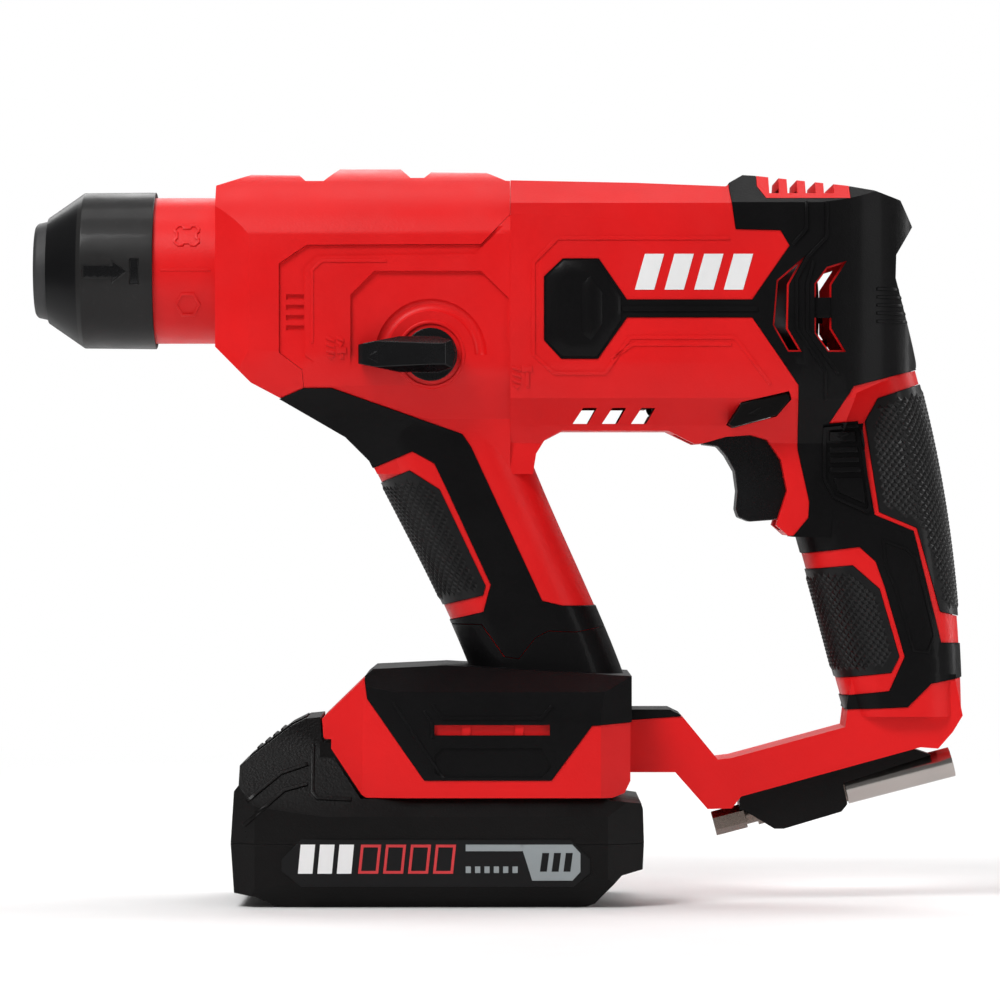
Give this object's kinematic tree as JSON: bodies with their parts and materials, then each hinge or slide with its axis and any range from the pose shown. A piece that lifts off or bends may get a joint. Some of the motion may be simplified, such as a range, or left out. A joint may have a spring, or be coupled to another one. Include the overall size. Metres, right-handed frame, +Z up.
{
  "type": "rotary hammer",
  "caption": "Cordless pistol-style rotary hammer with pull-back chuck, mode knob, front grip, looped rear handle, slide-on battery pack and stored hex adapter.",
  "frame": {"origin": "centre of the bit socket's mouth, on the spindle axis", "axes": "+X from the chuck towards the rear handle, +Z up, -Y the operator's left-hand side"},
  "size_m": [0.2727, 0.076, 0.2151],
  "materials": {
    "red_plastic": "fine spark texture",
    "soft_black": "soft-touch matte",
    "pad_black": "diamond knurl",
    "black_plastic": "fine texture",
    "gloss_black": "satin gloss",
    "cap_rubber": "smooth",
    "hard_steel": "ground",
    "gear_steel": "hobbed",
    "cast_alloy": "die cast",
    "can_steel": "zinc plated",
    "magnet": "sintered",
    "brass": "plain",
    "carbon": "pressed carbon",
    "spring_steel": "drawn",
    "chrome": "polished",
    "dark_hex": "phosphated",
    "cell_wrap": "shrink wrap",
    "nylon": "moulded",
    "lead_insulation": "smooth",
    "fan_nylon": "moulded"
  },
  "bodies": {
    "housing": {"front_housing": "red_plastic", "left_shell": "red_plastic", "right_shell": "red_plastic", "left_rear_overmould": "soft_black", "right_rear_overmould": "soft_black", "left_front_overmould": "soft_black", "right_front_overmould": "soft_black", "handle_back_pad": "pad_black", "handle_front_pad": "pad_black", "front_grip_pad": "pad_black", "foot_cover": "soft_black", "top_grille": "red_plastic", "housing_screws": "can_steel", "terminal_block": "nylon", "switch_body": "nylon", "leads": "lead_insulation", "motor_can": "can_steel", "motor_magnets": "magnet", "motor_end_cap": "fan_nylon", "motor_brushes": "carbon", "shaft_bearings": "can_steel", "gear_carrier": "cast_alloy", "front_plate": "cast_alloy", "spindle_bearing": "can_steel", "bit_clip": "black_plastic", "trigger_spring": "spring_steel"},
    "layshaft": {"layshaft": "hard_steel", "layshaft_gear": "gear_steel", "spindle_pinion": "gear_steel", "wobble_hub": "gear_steel"},
    "clutch": {"clutch_sleeve": "gear_steel"},
    "wobble": {"wobble_ring": "gear_steel"},
    "armature": {"armature": "hard_steel", "motor_fan": "fan_nylon", "motor_pinion": "gear_steel"},
    "spindle": {"spindle": "hard_steel", "spindle_gear": "gear_steel", "dust_cap": "cap_rubber", "bolt_buffer": "cap_rubber", "collar_spring": "spring_steel"},
    "collar": {"chuck_collar": "gloss_black"},
    "ball_left": {"ball_left": "hard_steel"},
    "ball_right": {"ball_right": "hard_steel"},
    "piston": {"piston": "hard_steel"},
    "pin": {"piston_pin": "hard_steel"},
    "ram": {"ram": "hard_steel"},
    "bolt": {"impact_bolt": "hard_steel"},
    "shift": {"shift_plate": "gear_steel"},
    "knob": {"mode_knob": "gloss_black"},
    "trigger": {"trigger": "gloss_black"},
    "selector": {"direction_selector": "black_plastic"},
    "battery": {"battery_lower_case": "black_plastic", "battery_upper_case": "black_plastic", "battery_cells": "cell_wrap", "battery_contacts": "brass", "battery_screws": "can_steel", "battery_latch_spring": "spring_steel"},
    "latch": {"battery_latch": "black_plastic"},
    "adapter": {"adapter_shank": "dark_hex", "adapter_sleeve": "chrome"}
  },
  "joints": [
    {"name": "layshaft_spin", "type": "hinge", "parent": "housing", "child": "layshaft", "pos_m": [0.1, 0, -0.027], "axis": [1, 0, 0], "continuous": true},
    {"name": "spindle_spin", "type": "hinge", "parent": "housing", "child": "spindle", "pos_m": [0, 0, 0], "axis": [1, 0, 0], "continuous": true},
    {"name": "armature_spin", "type": "hinge", "parent": "housing", "child": "armature", "pos_m": [0.19, 0, -0.012], "axis": [1, 0, 0], "continuous": true},
    {"name": "piston_slide", "type": "slide", "parent": "housing", "child": "piston", "axis": [1, 0, 0], "range_m": [-0.0049, 0.0049]},
    {"name": "wobble_rock", "type": "hinge", "parent": "housing", "child": "wobble", "pos_m": [0.122, 0, -0.027], "axis": [0, 1, 0], "range_deg": [-10.5, 10.5]},
    {"name": "piston_pin_rock", "type": "hinge", "parent": "piston", "child": "pin", "pos_m": [0.122, 0, 0], "axis": [0, 1, 0], "range_deg": [-10.5, 10.5]},
    {"name": "ram_slide", "type": "slide", "parent": "spindle", "child": "ram", "axis": [1, 0, 0], "range_m": [-0.009, 0.0008]},
    {"name": "bolt_slide", "type": "slide", "parent": "spindle", "child": "bolt", "axis": [1, 0, 0], "range_m": [-0.003, 0]},
    {"name": "collar_slide", "type": "slide", "parent": "spindle", "child": "collar", "axis": [1, 0, 0], "range_m": [0, 0.006], "deforming": ["collar_spring"]},
    {"name": "ball_left_slide", "type": "slide", "parent": "spindle", "child": "ball_left", "axis": [0, -1, 0], "range_m": [0, 0.0016]},
    {"name": "ball_right_slide", "type": "slide", "parent": "spindle", "child": "ball_right", "axis": [0, 1, 0], "range_m": [0, 0.0016]},
    {"name": "mode_knob_turn", "type": "hinge", "parent": "housing", "child": "knob", "pos_m": [0.1168, 0, -0.0254], "axis": [0, 1, 0], "range_deg": [0, 180]},
    {"name": "shift_plate_slide", "type": "slide", "parent": "housing", "child": "shift", "axis": [1, 0, 0], "range_m": [0, 0.004]},
    {"name": "clutch_sleeve_slide", "type": "slide", "parent": "layshaft", "child": "clutch", "axis": [1, 0, 0], "range_m": [0, 0.004]},
    {"name": "trigger_slide", "type": "slide", "parent": "housing", "child": "trigger", "axis": [1, 0, 0], "range_m": [0, 0.006], "deforming": ["trigger_spring"]},
    {"name": "selector_slide", "type": "slide", "parent": "housing", "child": "selector", "axis": [0, 1, 0], "range_m": [-0.0035, 0.0035]},
    {"name": "battery_slide", "type": "slide", "parent": "housing", "child": "battery", "axis": [-1, 0, 0], "range_m": [0, 0.095]},
    {"name": "battery_latch_press", "type": "slide", "parent": "battery", "child": "latch", "axis": [0, 0, -1], "range_m": [0, 0.003], "deforming": ["battery_latch_spring"]},
    {"name": "adapter_slide", "type": "slide", "parent": "housing", "child": "adapter", "axis": [0.9677, 0, 0.2521], "range_m": [0, 0.05]}
  ],
  "couplings": [
    {"joint": "layshaft_spin", "follows": "armature_spin", "ratio": -0.29032},
    {"joint": "spindle_spin", "follows": "armature_spin", "ratio": 0.074269},
    {"joint": "wobble_rock", "follows": "piston_slide", "rad_per_m": 37.2},
    {"joint": "piston_pin_rock", "follows": "piston_slide", "rad_per_m": 37.2},
    {"joint": "shift_plate_slide", "follows": "mode_knob_turn", "m_per_rad": 0.001273},
    {"joint": "clutch_sleeve_slide", "follows": "mode_knob_turn", "m_per_rad": 0.001273},
    {"joint": "ball_left_slide", "follows": "collar_slide", "ratio": 0.2666},
    {"joint": "ball_right_slide", "follows": "collar_slide", "ratio": 0.2666}
  ]
}
